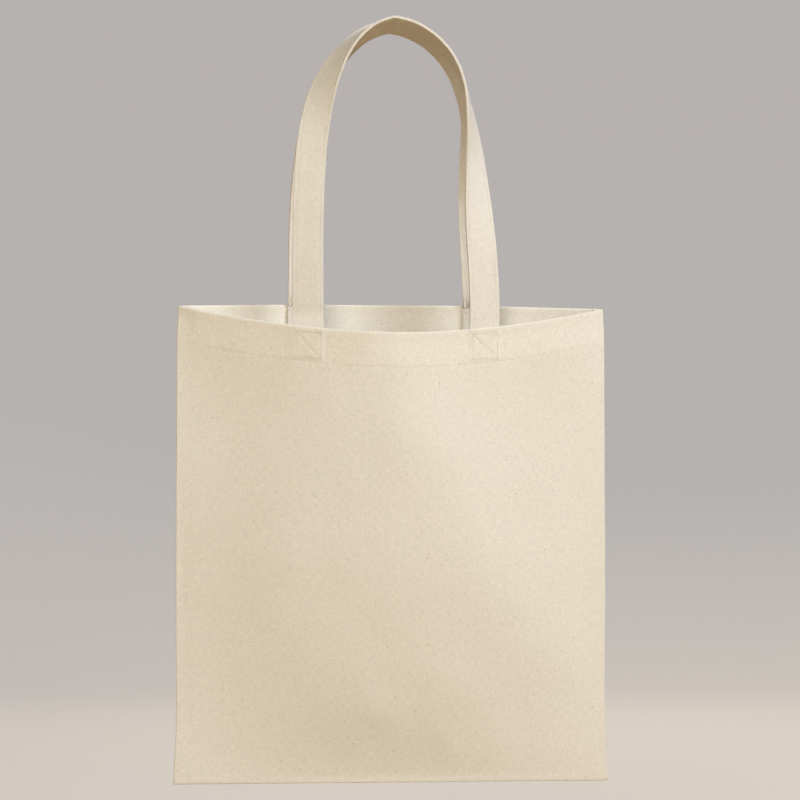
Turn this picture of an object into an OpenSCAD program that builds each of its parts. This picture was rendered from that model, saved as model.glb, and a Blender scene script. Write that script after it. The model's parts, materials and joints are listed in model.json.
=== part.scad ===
// Plain canvas tote bag with two sewn-on handles.
// The front faces -Y and +Z is up. The origin is the point that a hook or a hand
// carries: the underside of the handles, at their top.

/* [Bag] */
// Width across the bottom seam
bag_w = 381; // [280:1:460]
// Height of the side seams
bag_h = 414; // [300:1:520]
// How much narrower the mouth is, on each side, than the bottom
mouth_pull_in = 2.5; // [0:0.5:8]
// How far the middle of the front wall stands out at the mouth
front_depth = 35; // [25:0.5:50]
// How far the middle of the back wall stands out at the mouth
back_depth = 32; // [25:0.5:50]
// How far the middle of the front rim hangs below its ends
front_rim_dip = 23; // [5:1:40]
// How far the middle of the back rim rises above its ends
back_rim_lift = 5; // [0:0.5:15]

/* [Cloth] */
// Thickness of one layer of canvas
cloth_t = 0.7; // [0.4:0.05:1.2]
// Clearance between two layers that are sewn together
layer_gap = 0.2; // [0.15:0.05:0.3]
// Depth of the hem turned in at the mouth
hem_h = 30; // [20:1:45]
// Gap between the ends of a hem and the side seam
hem_inset = 3.5; // [3:0.5:7]
// Width of the seam allowance inside the bag
seam_w = 9; // [6:0.5:14]
// Width of the overlocked edge of a seam allowance
overlock_w = 3; // [2:0.5:4]

/* [Handles] */
// Width of a handle
strap_w = 27; // [18:1:34]
// Thickness of a handle, four layers of cloth
strap_t = 2.4; // [1.6:0.1:3.2]
// Distance between the middles of a handle's two legs
leg_spacing = 153; // [110:1:190]
// Height of the handles' top above the ends of the mouth
handle_rise = 258; // [200:0.5:330]
// Straight part of a back leg, above the ends of the mouth
leg_straight = 5; // [5:1:20]
// Distance of a handle's middle line from the bag's middle plane, at the top
top_offset = 15; // [13.5:0.5:22]
// Distance from a handle's sewn end to the hem's lower edge
end_margin = 2; // [1:0.5:5]

/* [Stitching] */
// Thickness of the sewing thread
thread_t = 0.4; // [0.3:0.05:0.6]
// Clearance between a thread and the cloth that it lies on
thread_lift = 0.15; // [0.1:0.05:0.2]
// Distance of a handle's stitch row from its edge
edge_inset = 3; // [2:0.5:5]
// Width of the crossed stitch square on each leg
box_w = 22; // [14:1:26]
// Distance from the top of the crossed stitch square to the rim
box_drop = 5; // [3:0.5:8]
// Distance from the bottom of the crossed stitch square to the hem's stitch row
box_margin = 3; // [1:0.5:5]

/* [Folding] */
// Clearance between a handle that is folded down and the wall
fold_gap = 0.6; // [0.4:0.1:2]
// Half of the slit between the sewn end and the free part of a handle
hinge_slit = 0.2; // [0.15:0.05:0.4]

/* [Hidden] */

front = -1;
back = 1;
left = -1;
right = 1;

canvas_color = [0.90, 0.85, 0.75];
hem_color = [0.86, 0.81, 0.71];
seam_color = [0.82, 0.77, 0.67];
strap_color = [0.92, 0.87, 0.78];
thread_color = [0.97, 0.94, 0.86];
overlock_color = [0.95, 0.93, 0.88];

columns = 24;          // facets across a wall
rows = 14;             // facets up a wall
arch_steps = 16;       // facets along half of a handle's arch
belly = 0.08;          // extra fullness of a wall at half height, as a share of its depth
flat_seam = 0.6 * seam_w / bag_h;        // share of the height where the walls lie on the seam
arch_square = 3.7;     // a larger value makes straighter legs
arch_round = 0.52;     // a smaller value makes a flatter top
twist_from = 0.03;     // share of a leg's length at which it starts to turn
twist_to = 0.97;       // share at which it lies flat

mouth_z = strap_t / 2 - handle_rise;     // ends of the mouth
bottom_z = mouth_z - bag_h;
arch_rise = handle_rise - leg_straight;
arch_z = mouth_z + leg_straight;
seam_t = 2 * cloth_t;                    // a seam allowance is two layers
edge_half = seam_t / 2 + layer_gap;      // half of the room that the walls leave at a seam
leg_x = leg_spacing / 2;
sewn_length = hem_h - end_margin;
box_h = hem_h - box_drop - box_margin;

// ---- the shape of the walls ----

function smooth(t) = let (c = max(0, min(1, t))) c * c * (3 - 2 * c);
function half_w(v) = bag_w / 2 - mouth_pull_in * (1 - (1 - v) * (1 - v));
function rim_shift(side, u) =
    side == front ? -front_rim_dip * (1 - pow(abs(u), 1.8))
                  : back_rim_lift * (1 - u * u);
function rim_z(side, u) = mouth_z + rim_shift(side, u);

// fullness from the bottom (v = 0) to the rim (v = 1), and across from seam to seam:
// a wall is round low down and comes to a soft ridge at the mouth
function above_seam(v) = max(0, v - flat_seam) / (1 - flat_seam);
function rise_fullness(v) =
    let (t = min(1, above_seam(v))) 1 - pow(1 - t, 2.2) + belly * sin(180 * t);
function cross_fullness(u, v) = 1 - pow(abs(u), 2.1 - 0.6 * smooth(v));
function wall_depth(side) = side == front ? front_depth : back_depth;

// distance of a wall's inner face from the middle plane of the bag
function inner_face(side, u, v) =
    wall_depth(side) * rise_fullness(v) * cross_fullness(u, v) + edge_half;

// a point of a wall, drawn as on the front; out is measured outwards from the inner face
function wall_point(side, u, v, out) = [
    u * half_w(v),
    -inner_face(side, u, v) - out,
    bottom_z + v * (rim_z(side, u) - bottom_z)
];

// the height v and width u of the place at x and z
function v_at(side, u, z) = (z - bottom_z) / (rim_z(side, u) - bottom_z);
function u_at(x) = x / half_w(1);
function below_rim(side, u, drop) = v_at(side, u, rim_z(side, u) - drop);

function thread_places(middle) = [middle - thread_t / 2, middle + thread_t / 2];
function column_u(reach) = [for (j = [0 : columns]) reach * sin(180 * j / columns - 90)];
function row_v() = [for (i = [0 : rows]) i / rows];

// ---- general solids ----

module on_side(side) {
    mirror([0, side == back ? 1 : 0, 0]) children();
}

// a thin sheet between two grids of points, outer face first
module sheet(outer, inner) {
    m = len(outer) - 1;
    c = len(outer[0]) - 1;
    n = (m + 1) * (c + 1);
    function a(i, j) = i * (c + 1) + j;
    function b(i, j) = n + a(i, j);
    polyhedron(
        points = [for (r = outer) each r, for (r = inner) each r],
        faces = [
            for (i = [0 : m - 1], j = [0 : c - 1]) each [
                [a(i, j), a(i + 1, j), a(i + 1, j + 1)],
                [a(i, j), a(i + 1, j + 1), a(i, j + 1)],
                [b(i, j), b(i + 1, j + 1), b(i + 1, j)],
                [b(i, j), b(i, j + 1), b(i + 1, j + 1)]
            ],
            for (j = [0 : c - 1]) each [
                [a(0, j), a(0, j + 1), b(0, j + 1)],
                [a(0, j), b(0, j + 1), b(0, j)],
                [a(m, j), b(m, j + 1), a(m, j + 1)],
                [a(m, j), b(m, j), b(m, j + 1)]
            ],
            for (i = [0 : m - 1]) each [
                [a(i, 0), b(i, 0), b(i + 1, 0)],
                [a(i, 0), b(i + 1, 0), a(i + 1, 0)],
                [a(i, c), b(i + 1, c), b(i, c)],
                [a(i, c), a(i + 1, c), b(i + 1, c)]
            ]
        ]
    );
}

// a bar through rings of points, which all have the same number of corners
module bar(rings) {
    m = len(rings) - 1;
    c = len(rings[0]);
    polyhedron(
        points = [for (r = rings) each r],
        faces = [
            for (i = [0 : c - 3]) [c - 1, i, i + 1],
            for (k = [0 : m - 1], i = [0 : c - 1]) let (j = (i + 1) % c) each [
                [c * k + i, c * (k + 1) + j, c * k + j],
                [c * k + i, c * (k + 1) + i, c * (k + 1) + j]
            ],
            for (i = [0 : c - 3]) [c * m + i + 1, c * m + i, c * m + c - 1]
        ]
    );
}

// one ring of a bar: its middle p, the directions across and out of it, and the
// places across its outer face, from one edge to the other
function ring(p, across, out, places, low, high) = concat(
    [for (a = places) p + a * across + high * out],
    [p + places[len(places) - 1] * across + low * out,
     p + places[0] * across + low * out]
);

// ---- walls, hems and seams ----

// a layer of cloth on a wall, from v = low(u) up to the rim
module wall_layer(side, us, vs, out, thickness) {
    on_side(side) sheet(
        [for (v = vs) [for (u = us) wall_point(side, u, v, out + thickness)]],
        [for (v = vs) [for (u = us) wall_point(side, u, v, out)]]
    );
}

module panel(side) {
    color(canvas_color) wall_layer(side, column_u(1), row_v(), 0, cloth_t);
}

module hem(side) {
    us = column_u(1 - hem_inset / half_w(1));
    function v_row(u, t) = let (low = below_rim(side, u, hem_h)) low + (1 - low) * t;
    color(hem_color) on_side(side) sheet(
        [for (t = [0, 0.5, 1]) [for (u = us)
            wall_point(side, u, v_row(u, t), -layer_gap)]],
        [for (t = [0, 0.5, 1]) [for (u = us)
            wall_point(side, u, v_row(u, t), -layer_gap - cloth_t)]]
    );
}

// the flat strip beside a side seam, between two distances from the seam
module side_strip(hand, from, to) {
    low = bottom_z + seam_w + layer_gap;
    high = rim_z(front, 1);
    steps = 6;
    zs = [for (i = [0 : steps]) low + (high - low) * i / steps];
    function seam_x(z) = half_w((z - bottom_z) / bag_h);
    mirror([hand == left ? 1 : 0, 0, 0])
        translate([0, seam_t / 2, 0]) rotate([90, 0, 0])
            linear_extrude(seam_t) polygon([
                for (z = zs) [seam_x(z) - from, z],
                for (i = [0 : steps]) [seam_x(zs[steps - i]) - to, zs[steps - i]]
            ]);
}

module seam_allowance(hand) {
    color(seam_color) side_strip(hand, 0, seam_w - overlock_w);
}

module overlock(hand) {
    color(overlock_color) side_strip(hand, seam_w - overlock_w + layer_gap, seam_w);
}

module bottom_strip(low, high) {
    length = bag_w - 2 * mouth_pull_in * seam_w / bag_h;
    translate([-length / 2, -seam_t / 2, bottom_z + low])
        cube([length, seam_t, high - low]);
}

module bottom_seam_allowance() {
    color(seam_color) bottom_strip(0, seam_w - overlock_w);
}

module bottom_overlock() {
    color(overlock_color) bottom_strip(seam_w - overlock_w + layer_gap, seam_w);
}

// the row of stitches that holds a hem, along its lower edge
module hem_stitching(side) {
    us = column_u(1 - hem_inset / half_w(1));
    color(thread_color) on_side(side) bar([
        for (u = us)
            ring(wall_point(side, u, below_rim(side, u, hem_h), cloth_t),
                 [0, 0, -1], [0, -1, 0], thread_places(0),
                 thread_lift, thread_lift + thread_t)
    ]);
}

// ---- handles ----

// the layers that a sewn end lies on: the wall's inner face, the hem and their clearances
strap_out = -cloth_t - 2 * layer_gap;
function leg_u() = u_at(leg_x);
function outer_edge_u() = u_at(leg_x + strap_w / 2);
function inner_edge_u() = u_at(leg_x - strap_w / 2);
function leg_middle(side) = inner_face(side, leg_u(), 1) + strap_out - strap_t / 2;

// how far the wall, and so a leg, is turned away from the front
function leg_turn(side) =
    atan((inner_face(side, inner_edge_u(), 1) - inner_face(side, outer_edge_u(), 1))
         / strap_w);

// where a handle folds over the rim: as far out as leaves fold_gap once it is down
function hinge_z(side) = rim_z(side, side == front ? outer_edge_u() : inner_edge_u());
function hinge_y(side) =
    inner_face(side, inner_edge_u(), 1) + (cloth_t + strap_out + fold_gap) / 2;

// the end of a handle that is sewn to the inside of the hem
module strap_end(side, hand) {
    reach = strap_w / 2 * cos(leg_turn(side));
    us = [for (j = [-2 : 2]) u_at(hand * leg_x + j * reach / 2)];
    top = hinge_z(side) - hinge_slit;
    low = top - sewn_length;
    function spot(u, z, out) =
        let (p = wall_point(side, u, v_at(side, u, z), out)) [u * half_w(1), p[1], z];
    color(strap_color) on_side(side) sheet(
        [for (t = [0 : 2]) [for (u = us)
            spot(u, low + (top - low) * t / 2, strap_out)]],
        [for (t = [0 : 2]) [for (u = us)
            spot(u, low + (top - low) * t / 2, strap_out - strap_t)]]
    );
}

// the arch that a handle's middle line follows, as [x, height] from the left leg to the right
function arch_point(i) =
    let (phi = 90 * pow(i / arch_steps, 1.9))
    [leg_x * pow(max(0, cos(phi)), 2 * arch_round),
     arch_rise * pow(sin(phi), 2 / arch_square)];

function middle_line(side) =
    let (base = hinge_z(side) + hinge_slit,
         half = [for (i = [0 : arch_steps]) arch_point(i) + [0, arch_z]])
    concat(
        [[-leg_x, base]],
        [for (p = half) [-p[0], p[1]]],
        [for (i = [1 : arch_steps]) half[arch_steps - i]],
        [[leg_x, base]]
    );

function lengths(line, i = 0, sum = 0) =
    i >= len(line) ? []
    : let (s = i == 0 ? 0 : sum + norm(line[i] - line[i - 1]))
      concat([s], lengths(line, i + 1, s));

// the direction of the line at point i
function along(line, i) =
    let (d = line[min(i + 1, len(line) - 1)] - line[max(i - 1, 0)]) d / norm(d);

// a leg lies on its wall at the rim, and turns until it is flat at the top
function turn(side, share) =
    let (start = leg_turn(side))
    start + (90 - start) * smooth((share - twist_from) / (twist_to - twist_from));

function lean(side, z) =
    leg_middle(side) + (top_offset - leg_middle(side))
        * smooth(((z - arch_z) / arch_rise - 0.1) / 0.9);

// rings of a bar that runs along a handle, at these places across it
function handle_rings(side, places, low, high) =
    let (line = middle_line(side), s = lengths(line), total = s[len(s) - 1])
    [for (i = [0 : len(line) - 1])
        let (share = 2 * min(s[i], total - s[i]) / total,
             t = along(line, i),
             a = turn(side, share),
             outward = [-t[1], 0, t[0]],
             across = -cos(a) * outward + sin(a) * [0, -1, 0],
             out = sin(a) * outward + cos(a) * [0, -1, 0],
             p = [line[i][0], -lean(side, line[i][1]), line[i][1]])
        ring(p, across, out, places, low, high)];

module handle(side) {
    stitch_x = strap_w / 2 - edge_inset;
    color(strap_color) on_side(side)
        bar(handle_rings(side, [-strap_w / 2, -stitch_x, stitch_x, strap_w / 2],
                         -strap_t / 2, strap_t / 2));
}

// the two rows of stitches along a handle's edges, on its outer face
module handle_stitching(side) {
    low = strap_t / 2 + thread_lift;
    color(thread_color) on_side(side)
        for (hand = [left, right])
            bar(handle_rings(side, thread_places(hand * (strap_w / 2 - edge_inset)),
                             low, low + thread_t));
}

// the crossed square of stitches that holds a sewn end
module box_stitch(side, hand) {
    step = 1;
    u = hand * leg_u();
    z = rim_z(side, u) - box_drop - box_h / 2;
    function y_at(x, z) =
        let (c = u_at(x)) wall_point(side, c, v_at(side, c, z), cloth_t)[1];
    x = u * half_w(1);
    lean_z = atan((y_at(x, z + step) - y_at(x, z - step)) / (2 * step));
    lean_x = atan((y_at(x + step, z) - y_at(x - step, z)) / (2 * step));
    color(thread_color) on_side(side)
        translate([x, y_at(x, z), z])
            rotate([90 - lean_z, 0, lean_x])
                translate([0, 0, thread_lift]) linear_extrude(thread_t) crossed_square();
}

module crossed_square() {
    diagonal = norm([box_w, box_h]) - thread_t;
    difference() {
        square([box_w, box_h], center = true);
        square([box_w - 2 * thread_t, box_h - 2 * thread_t], center = true);
    }
    for (hand = [left, right])
        rotate(hand * atan(box_h / box_w))
            square([diagonal, thread_t], center = true);
}

panel(front);  // front_panel
panel(back);  // back_panel
hem(front);  // front_hem
hem(back);  // back_hem
seam_allowance(left);  // left_seam_allowance
seam_allowance(right);  // right_seam_allowance
bottom_seam_allowance();
overlock(left);  // left_overlock
overlock(right);  // right_overlock
bottom_overlock();
hem_stitching(front);  // front_hem_stitching
hem_stitching(back);  // back_hem_stitching
strap_end(front, left);  // front_left_strap_end
strap_end(front, right);  // front_right_strap_end
strap_end(back, left);  // back_left_strap_end
strap_end(back, right);  // back_right_strap_end
box_stitch(front, left);  // front_left_box_stitch
box_stitch(front, right);  // front_right_box_stitch
box_stitch(back, left);  // back_left_box_stitch
box_stitch(back, right);  // back_right_box_stitch
handle(front);  // front_handle
handle(back);  // back_handle
handle_stitching(front);  // front_handle_stitching
handle_stitching(back);  // back_handle_stitching
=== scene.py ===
import json
import math

import bpy
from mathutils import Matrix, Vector, noise


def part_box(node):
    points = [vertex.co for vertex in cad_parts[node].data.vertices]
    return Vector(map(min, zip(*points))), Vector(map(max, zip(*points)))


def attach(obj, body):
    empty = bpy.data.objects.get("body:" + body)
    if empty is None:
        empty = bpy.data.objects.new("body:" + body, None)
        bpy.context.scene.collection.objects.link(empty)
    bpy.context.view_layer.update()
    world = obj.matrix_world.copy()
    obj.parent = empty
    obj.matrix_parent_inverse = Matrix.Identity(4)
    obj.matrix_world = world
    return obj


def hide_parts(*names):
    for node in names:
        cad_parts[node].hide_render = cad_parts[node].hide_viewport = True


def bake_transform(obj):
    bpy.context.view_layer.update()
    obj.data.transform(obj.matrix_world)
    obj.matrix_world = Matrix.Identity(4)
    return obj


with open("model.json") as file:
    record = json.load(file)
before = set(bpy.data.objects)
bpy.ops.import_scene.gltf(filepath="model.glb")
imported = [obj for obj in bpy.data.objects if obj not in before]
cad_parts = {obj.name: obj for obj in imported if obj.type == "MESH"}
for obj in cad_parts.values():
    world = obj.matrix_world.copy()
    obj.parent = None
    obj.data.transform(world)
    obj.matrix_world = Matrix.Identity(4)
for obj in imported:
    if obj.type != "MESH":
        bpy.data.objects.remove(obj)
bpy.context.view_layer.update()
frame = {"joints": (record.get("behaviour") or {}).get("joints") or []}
print("frame loaded")


# the bag's measures: lengths in metres, and the boxes come from the frame

panelLow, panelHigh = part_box("front_panel")
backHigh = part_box("back_panel")[1]

bag = {
    "halfWidth": (panelHigh.x - panelLow.x) / 2,
    "pullIn": 0.0015,           # how much each side draws in as the walls part
    "pullReach": 0.12,          # share of the height over which it does
    "cornerPull": 0.0009,       # and more just above the bottom corners
    "cornerAt": 0.17, "cornerReach": 0.15,
    "mouthPull": 0.0010,        # and at the ends of the mouth
    "mouthFrom": 0.93,
    "bottomZ": panelLow.z,
    "mouthZ": panelHigh.z + 0.0016,     # the two ends of the mouth
    "belly": 0.08,              # fullness at half height, as a share of the depth
    "fall": 2.2,                # how late the walls close towards the bottom
    "pressed": 0.6,             # share of the bottom seam that lies flat together
    "square": 2.1,              # how square the walls bow across, at the bottom
    "squareLess": 0.6,          # and how much less at the mouth
    "flatEdge": 0.4,            # how much flatter they lie near the seams, low down
    "flatReach": 0.25,          # share of the height over which that comes in
    "cloth": 0.0007,
    "gap": 0.0002,              # air between two layers
    "hem": 0.030,
    "hemInset": 0.0028,
    "seam": 0.009,              # seam allowance
}
bag["height"] = bag["mouthZ"] - bag["bottomZ"]

walls = {
    "front": {"sign": -1, "depth": 0.035, "rimShift": -0.0246, "rimPower": 1.8},
    "back": {"sign": 1, "depth": 0.032,
             "rimShift": backHigh.z - panelHigh.z, "rimPower": 2.0},
}
# where the noise of each cloth starts
seeds = {
    "front": {"drape": 3.7, "hem": 1.3, "strap": 2.2},
    "back": {"drape": 9.1, "hem": 5.9, "strap": 6.6},
}


def smooth(t):
    t = max(0.0, min(1.0, t))
    return t * t * (3 - 2 * t)


def ramp(value, start, end):
    return smooth((value - start) / (end - start))


def bell(value, width):
    return math.exp(-(value / width) ** 2)


def halfWidth(v):
    return (bag["halfWidth"] - bag["pullIn"] * ramp(v, 0.0, bag["pullReach"])
            - bag["cornerPull"] * bell(v - bag["cornerAt"], bag["cornerReach"])
            - bag["mouthPull"] * ramp(v, bag["mouthFrom"], 1.0))


def rimZ(wall, u):
    return bag["mouthZ"] + wall["rimShift"] * (1 - abs(u) ** wall["rimPower"])


def innerFace(wall, u, v):
    # distance of a wall's inner face from the bag's middle plane
    flat = bag["pressed"] * bag["seam"] / bag["height"]
    t = min(1.0, max(0.0, v - flat) / (1 - flat))
    rise = 1 - (1 - t) ** bag["fall"] + bag["belly"] * math.sin(math.pi * t)
    # below the mouth the walls lie flat together near the seams
    flatter = 1 + bag["flatEdge"] * ramp(1 - v, 0.0, bag["flatReach"])
    square = bag["square"] - bag["squareLess"] * smooth(v)
    cross = (1 - min(1.0, abs(u)) ** square) ** flatter
    return wall["depth"] * rise * cross + bag["cloth"] + bag["gap"]


def heightShare(wall, u, z):
    return (z - bag["bottomZ"]) / (rimZ(wall, u) - bag["bottomZ"])


def dropToV(wall, u, drop):
    # the height v of a place that lies drop below the rim
    return heightShare(wall, u, rimZ(wall, u) - drop)


def legFoot(side, x):
    return hang[side]["left" if x < 0 else "right"]["foot"]


# the straps' measures and how each one hangs

strap = {
    "width": 0.027, "thick": 0.0024,
    "straight": 0.0028,                     # of a leg, above the mouth's ends
    "closeFrom": 0.05, "closeAt": 0.80,     # share of the rise over which the two straps meet
    "peak": 0.0040, "peakWidth": 0.045,     # where the arch hangs from its top
    "sewn": 0.028,                          # length below the rim
    "sewnSteps": 14,
    "stations": 240,
    "crowding": 1.9,                        # of the stations, towards the foot
    "soften": 1.5,                          # how softly the peak and the bow come in
    "edgeInset": 0.003, "groove": 0.00012, "grooveWidth": 0.0009,
    "puff": 0.00012,
    "inset": 0.0008, "corner": 0.0005,      # of the section's faces and its rounded corners
    "crease": 0.00005,                      # between the layers, along each edge
    "wave": 0.00035, "waveSize": (0.028, 0.020),        # slow waviness, along and across
    "ripple": 0.00025, "rippleSize": 0.008,             # finer, and more at the two edges
    "sway": 0.0003, "swaySize": 0.035,
}
sewnLow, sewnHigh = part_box("front_right_strap_end")
strap["halfSpacing"] = (sewnLow[0] + sewnHigh[0]) / 2
# how each strap hangs: the rise of its arch, half the distance between the two at the
# top, how far it has turned flat there, and for each leg where it stands, how square its
# shoulder is (2 is an ellipse), how far it bows inwards, and where along it it turns
hang = {
    "front": {"rise": 0.2470, "top": 0.0140, "flat": 1.0,
              "left": {"foot": strap["halfSpacing"] - 0.0008, "square": 4.0, "bow": 0.0,
                       "turn": (0.47, 1.04)},
              "right": {"foot": strap["halfSpacing"] + 0.0025, "square": 4.8, "bow": 0.0056,
                        "turn": (0.17, 0.82)}},
    "back": {"rise": 0.2463, "top": 0.0140, "flat": 0.84,
             "left": {"foot": strap["halfSpacing"] + 0.0010, "square": 4.0, "bow": 0.0,
                      "turn": (0.00, 1.30)},
             "right": {"foot": strap["halfSpacing"] + 0.0025, "square": 4.8, "bow": 0.0052,
                       "turn": (0.15, 0.75)}},
}

# soft folds of the hanging cloth: across and drop from the rim's middle

softFolds = {
    "front": [
        {"from": (-0.07, 0.20), "to": (0.03, 0.20), "height": 0.0040, "width": 0.090},
        {"from": (-0.05, 0.31), "to": (0.02, 0.31), "height": 0.0020, "width": 0.050},
        {"from": (-0.04, 0.385), "to": (0.01, 0.385), "height": -0.0012, "width": 0.035},
        {"from": (0.00, 0.01), "to": (0.03, 0.10), "height": 0.0012, "width": 0.038},
        {"from": (0.03, 0.10), "to": (0.12, 0.27), "height": 0.0026, "width": 0.038},
        {"from": (-0.14, 0.27), "to": (-0.09, 0.20), "height": 0.0012, "width": 0.035},
        {"from": (-0.02, 0.325), "to": (-0.01, 0.330), "height": 0.0012, "width": 0.016},
        {"from": (-0.17, -0.02), "to": (-0.03, 0.00), "height": 0.0024, "width": 0.022},
        {"from": (0.15, 0.02), "to": (0.12, 0.13), "height": 0.0010, "width": 0.025},
    ],
    "back": [
        {"from": (-0.14, -0.01), "to": (0.14, -0.01), "height": 0.0030, "width": 0.032},
        {"from": (0.00, 0.03), "to": (-0.02, 0.12), "height": 0.0018, "width": 0.025},
        {"from": (-0.02, 0.12), "to": (-0.09, 0.27), "height": 0.0025, "width": 0.035},
        {"from": (0.00, 0.20), "to": (0.05, 0.20), "height": 0.0035, "width": 0.085},
        {"from": (0.00, 0.32), "to": (0.05, 0.32), "height": 0.0018, "width": 0.050},
        {"from": (0.14, 0.03), "to": (0.11, 0.14), "height": 0.0010, "width": 0.025},
    ],
}
drape = {
    "broad": 0.0010, "broadSize": 0.085,     # wide unevenness of the cloth
    "fine": 0.00035, "fineSize": 0.026,
    "upright": 0.7,                          # how much longer it is upwards
    "sideFade": 0.10, "bottomFade": (0.010, 0.070),
    "pucker": 0.00040, "puckerSize": 0.0105, "puckerReach": 0.010,   # at the hem's stitches
    "puckerTurn": 30,
    "groove": 0.00010, "grooveWidth": 0.0012,
    "bulge": 0.00012, "bulgeWidth": 0.005, "bulgeAway": 0.004,
    "strapShows": 0.0006, "boxPress": 0.00030,
    "strapEdge": (-0.0012, 0.0022), "strapEnd": (-0.002, 0.002),
    "pressFade": 0.03,
}
sewnBox = {"width": 0.022, "height": 0.022, "drop": 0.005, "pressWidth": 0.0010}


def foldHeight(x, drop, fold):
    a, b = Vector(fold["from"]), Vector(fold["to"])
    along = b - a
    place = Vector((x, drop)) - a
    t = max(0.0, min(1.0, place.dot(along) / along.length_squared))
    return fold["height"] * bell((place - t * along).length, fold["width"])


def drapeOut(side, x, z, u, v):
    # how far the cloth stands out from its plain shape
    drop = bag["mouthZ"] + walls[side]["rimShift"] - z
    shift = sum(foldHeight(x, drop, fold) for fold in softFolds[side])
    for amount in ("broad", "fine"):
        s = drape[amount + "Size"]
        shift += drape[amount] * noise.noise(Vector((x / s, z / s * drape["upright"],
                                                     seeds[side]["drape"])))
    edge = ramp(1 - abs(u), 0.0, drape["sideFade"]) * ramp(v, *drape["bottomFade"])
    return shift * edge


def hemPress(side, x, drop):
    # the hem's stitches pull the cloth into a shallow groove, with small puckers beside it
    away = drop - bag["hem"]
    wave = noise.noise(Vector((x / drape["puckerSize"], away * drape["puckerTurn"],
                               seeds[side]["hem"])))
    press = -drape["groove"] * bell(away, drape["grooveWidth"])
    press += drape["bulge"] * bell(abs(away) - drape["bulgeAway"], drape["bulgeWidth"])
    press += drape["pucker"] * wave * bell(away, drape["puckerReach"])
    across, low = abs(x) - legFoot(side, x), strap["sewn"]
    if abs(across) < strap["width"] and drop < low + 0.02:
        over = (ramp(strap["width"] / 2 - abs(across), *drape["strapEdge"])
                * ramp(low - drop, *drape["strapEnd"]))
        press += drape["strapShows"] * over - drape["boxPress"] * boxLine(across, drop)
    return press


def boxLine(across, drop):
    # how near a place is to the crossed stitch square: 1 on its lines
    w, h = sewnBox["width"] / 2, sewnBox["height"] / 2
    down = drop - sewnBox["drop"] - h
    border = max(abs(across) - w, abs(down) - h)
    cross = min(abs(across * h - down * w), abs(across * h + down * w)) / math.hypot(w, h)
    return bell(abs(border) if border > 0 else min(-border, cross), sewnBox["pressWidth"])


def wallPoint(side, u, v, out, press=True):
    # a point of a wall; out is measured outwards from the cloth's inner face
    wall = walls[side]
    z = bag["bottomZ"] + v * (rimZ(wall, u) - bag["bottomZ"])
    x = u * halfWidth(v)
    out += innerFace(wall, u, v) + drapeOut(side, x, z, u, v)
    if press:
        out += (hemPress(side, x, rimZ(wall, u) - z)
                * ramp(1 - abs(u), 0.0, drape["pressFade"]))
    return Vector((x, wall["sign"] * out, z))


def wallNormal(side, u, v):
    step = 0.004
    across = wallPoint(side, u + step, v, 0) - wallPoint(side, u - step, v, 0)
    up = wallPoint(side, u, v + step, 0) - wallPoint(side, u, v - step, 0)
    return (walls[side]["sign"] * up.cross(across)).normalized()


# meshes

def addObject(name, data):
    thing = bpy.data.objects.new(name, data)
    bpy.context.scene.collection.objects.link(thing)
    return thing


def newPiece(name, points, faces, material=None, corners=(), edges=()):
    # corners holds the cloth coordinates of every face's corners, in their order
    mesh = bpy.data.meshes.new(name)
    mesh.from_pydata([tuple(p) for p in points], edges, faces)
    if corners:
        layer = mesh.uv_layers.new(name="cloth")
        for corner, place in zip(layer.data, corners):
            corner.uv = place
    mesh.shade_smooth()
    if material:
        mesh.materials.append(material)
    return addObject(name, mesh)


def plainCopy(piece, name):
    # the piece with its modifiers applied, as a mesh of its own
    graph = bpy.context.evaluated_depsgraph_get()
    mesh = bpy.data.meshes.new_from_object(piece.evaluated_get(graph),
                                           preserve_all_data_layers=True, depsgraph=graph)
    mesh.name = name
    bpy.data.objects.remove(piece)
    print(name, len(mesh.polygons), "faces")
    return addObject(name, mesh)


# materials

def giveInputs(tree, node, inputs):
    # each input gets a link from another node or a plain value
    for key, value in inputs.items():
        if isinstance(value, bpy.types.NodeSocket):
            tree.links.new(value, node.inputs[key])
        else:
            node.inputs[key].default_value = value


def addNode(tree, kind, inputs={}, **settings):
    node = tree.nodes.new(kind)
    for key, value in settings.items():
        setattr(node, key, value)
    giveInputs(tree, node, inputs)
    return node


def mathNode(tree, operation, *values):
    return addNode(tree, "ShaderNodeMath", dict(enumerate(values)),
                   operation=operation).outputs[0]


def mixColor(tree, factor, first, second, blend="MIX"):
    return addNode(tree, "ShaderNodeMix", {0: factor, 6: first, 7: second},
                   data_type="RGBA", blend_type=blend).outputs[2]


def noiseNode(tree, vector, scale, detail=2.0, rough=0.5, stretch=(1, 1, 1)):
    place = addNode(tree, "ShaderNodeMapping", {"Scale": stretch, "Vector": vector})
    return addNode(tree, "ShaderNodeTexNoise", {
        "Scale": scale, "Detail": detail, "Roughness": rough,
        "Vector": place.outputs[0]}).outputs["Fac"]


def linear(rgb):
    # a colour as it is seen on a screen, 0 to 255, as the shader takes it
    parts = [c / 255 for c in rgb]
    return tuple(c / 12.92 if c < 0.04045 else ((c + 0.055) / 1.055) ** 2.4
                 for c in parts) + (1.0,)


def newMaterial(name):
    material = bpy.data.materials.new(name)
    material.use_nodes = True
    return material, material.node_tree, material.node_tree.nodes["Principled BSDF"]


def sums(tree):
    # calc adds a sum to one tree, and offset centres a noise on nought
    def calc(operation, *values):
        return mathNode(tree, operation, *values)

    return calc, lambda value: calc("SUBTRACT", value, 0.5)


def toned(tree, rgb, tone):
    # a colour made lighter or darker by the tone
    shade = addNode(tree, "ShaderNodeCombineColor", {0: tone, 1: tone, 2: tone})
    return mixColor(tree, 1.0, linear(rgb), shade.outputs[0], "MULTIPLY")


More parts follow.
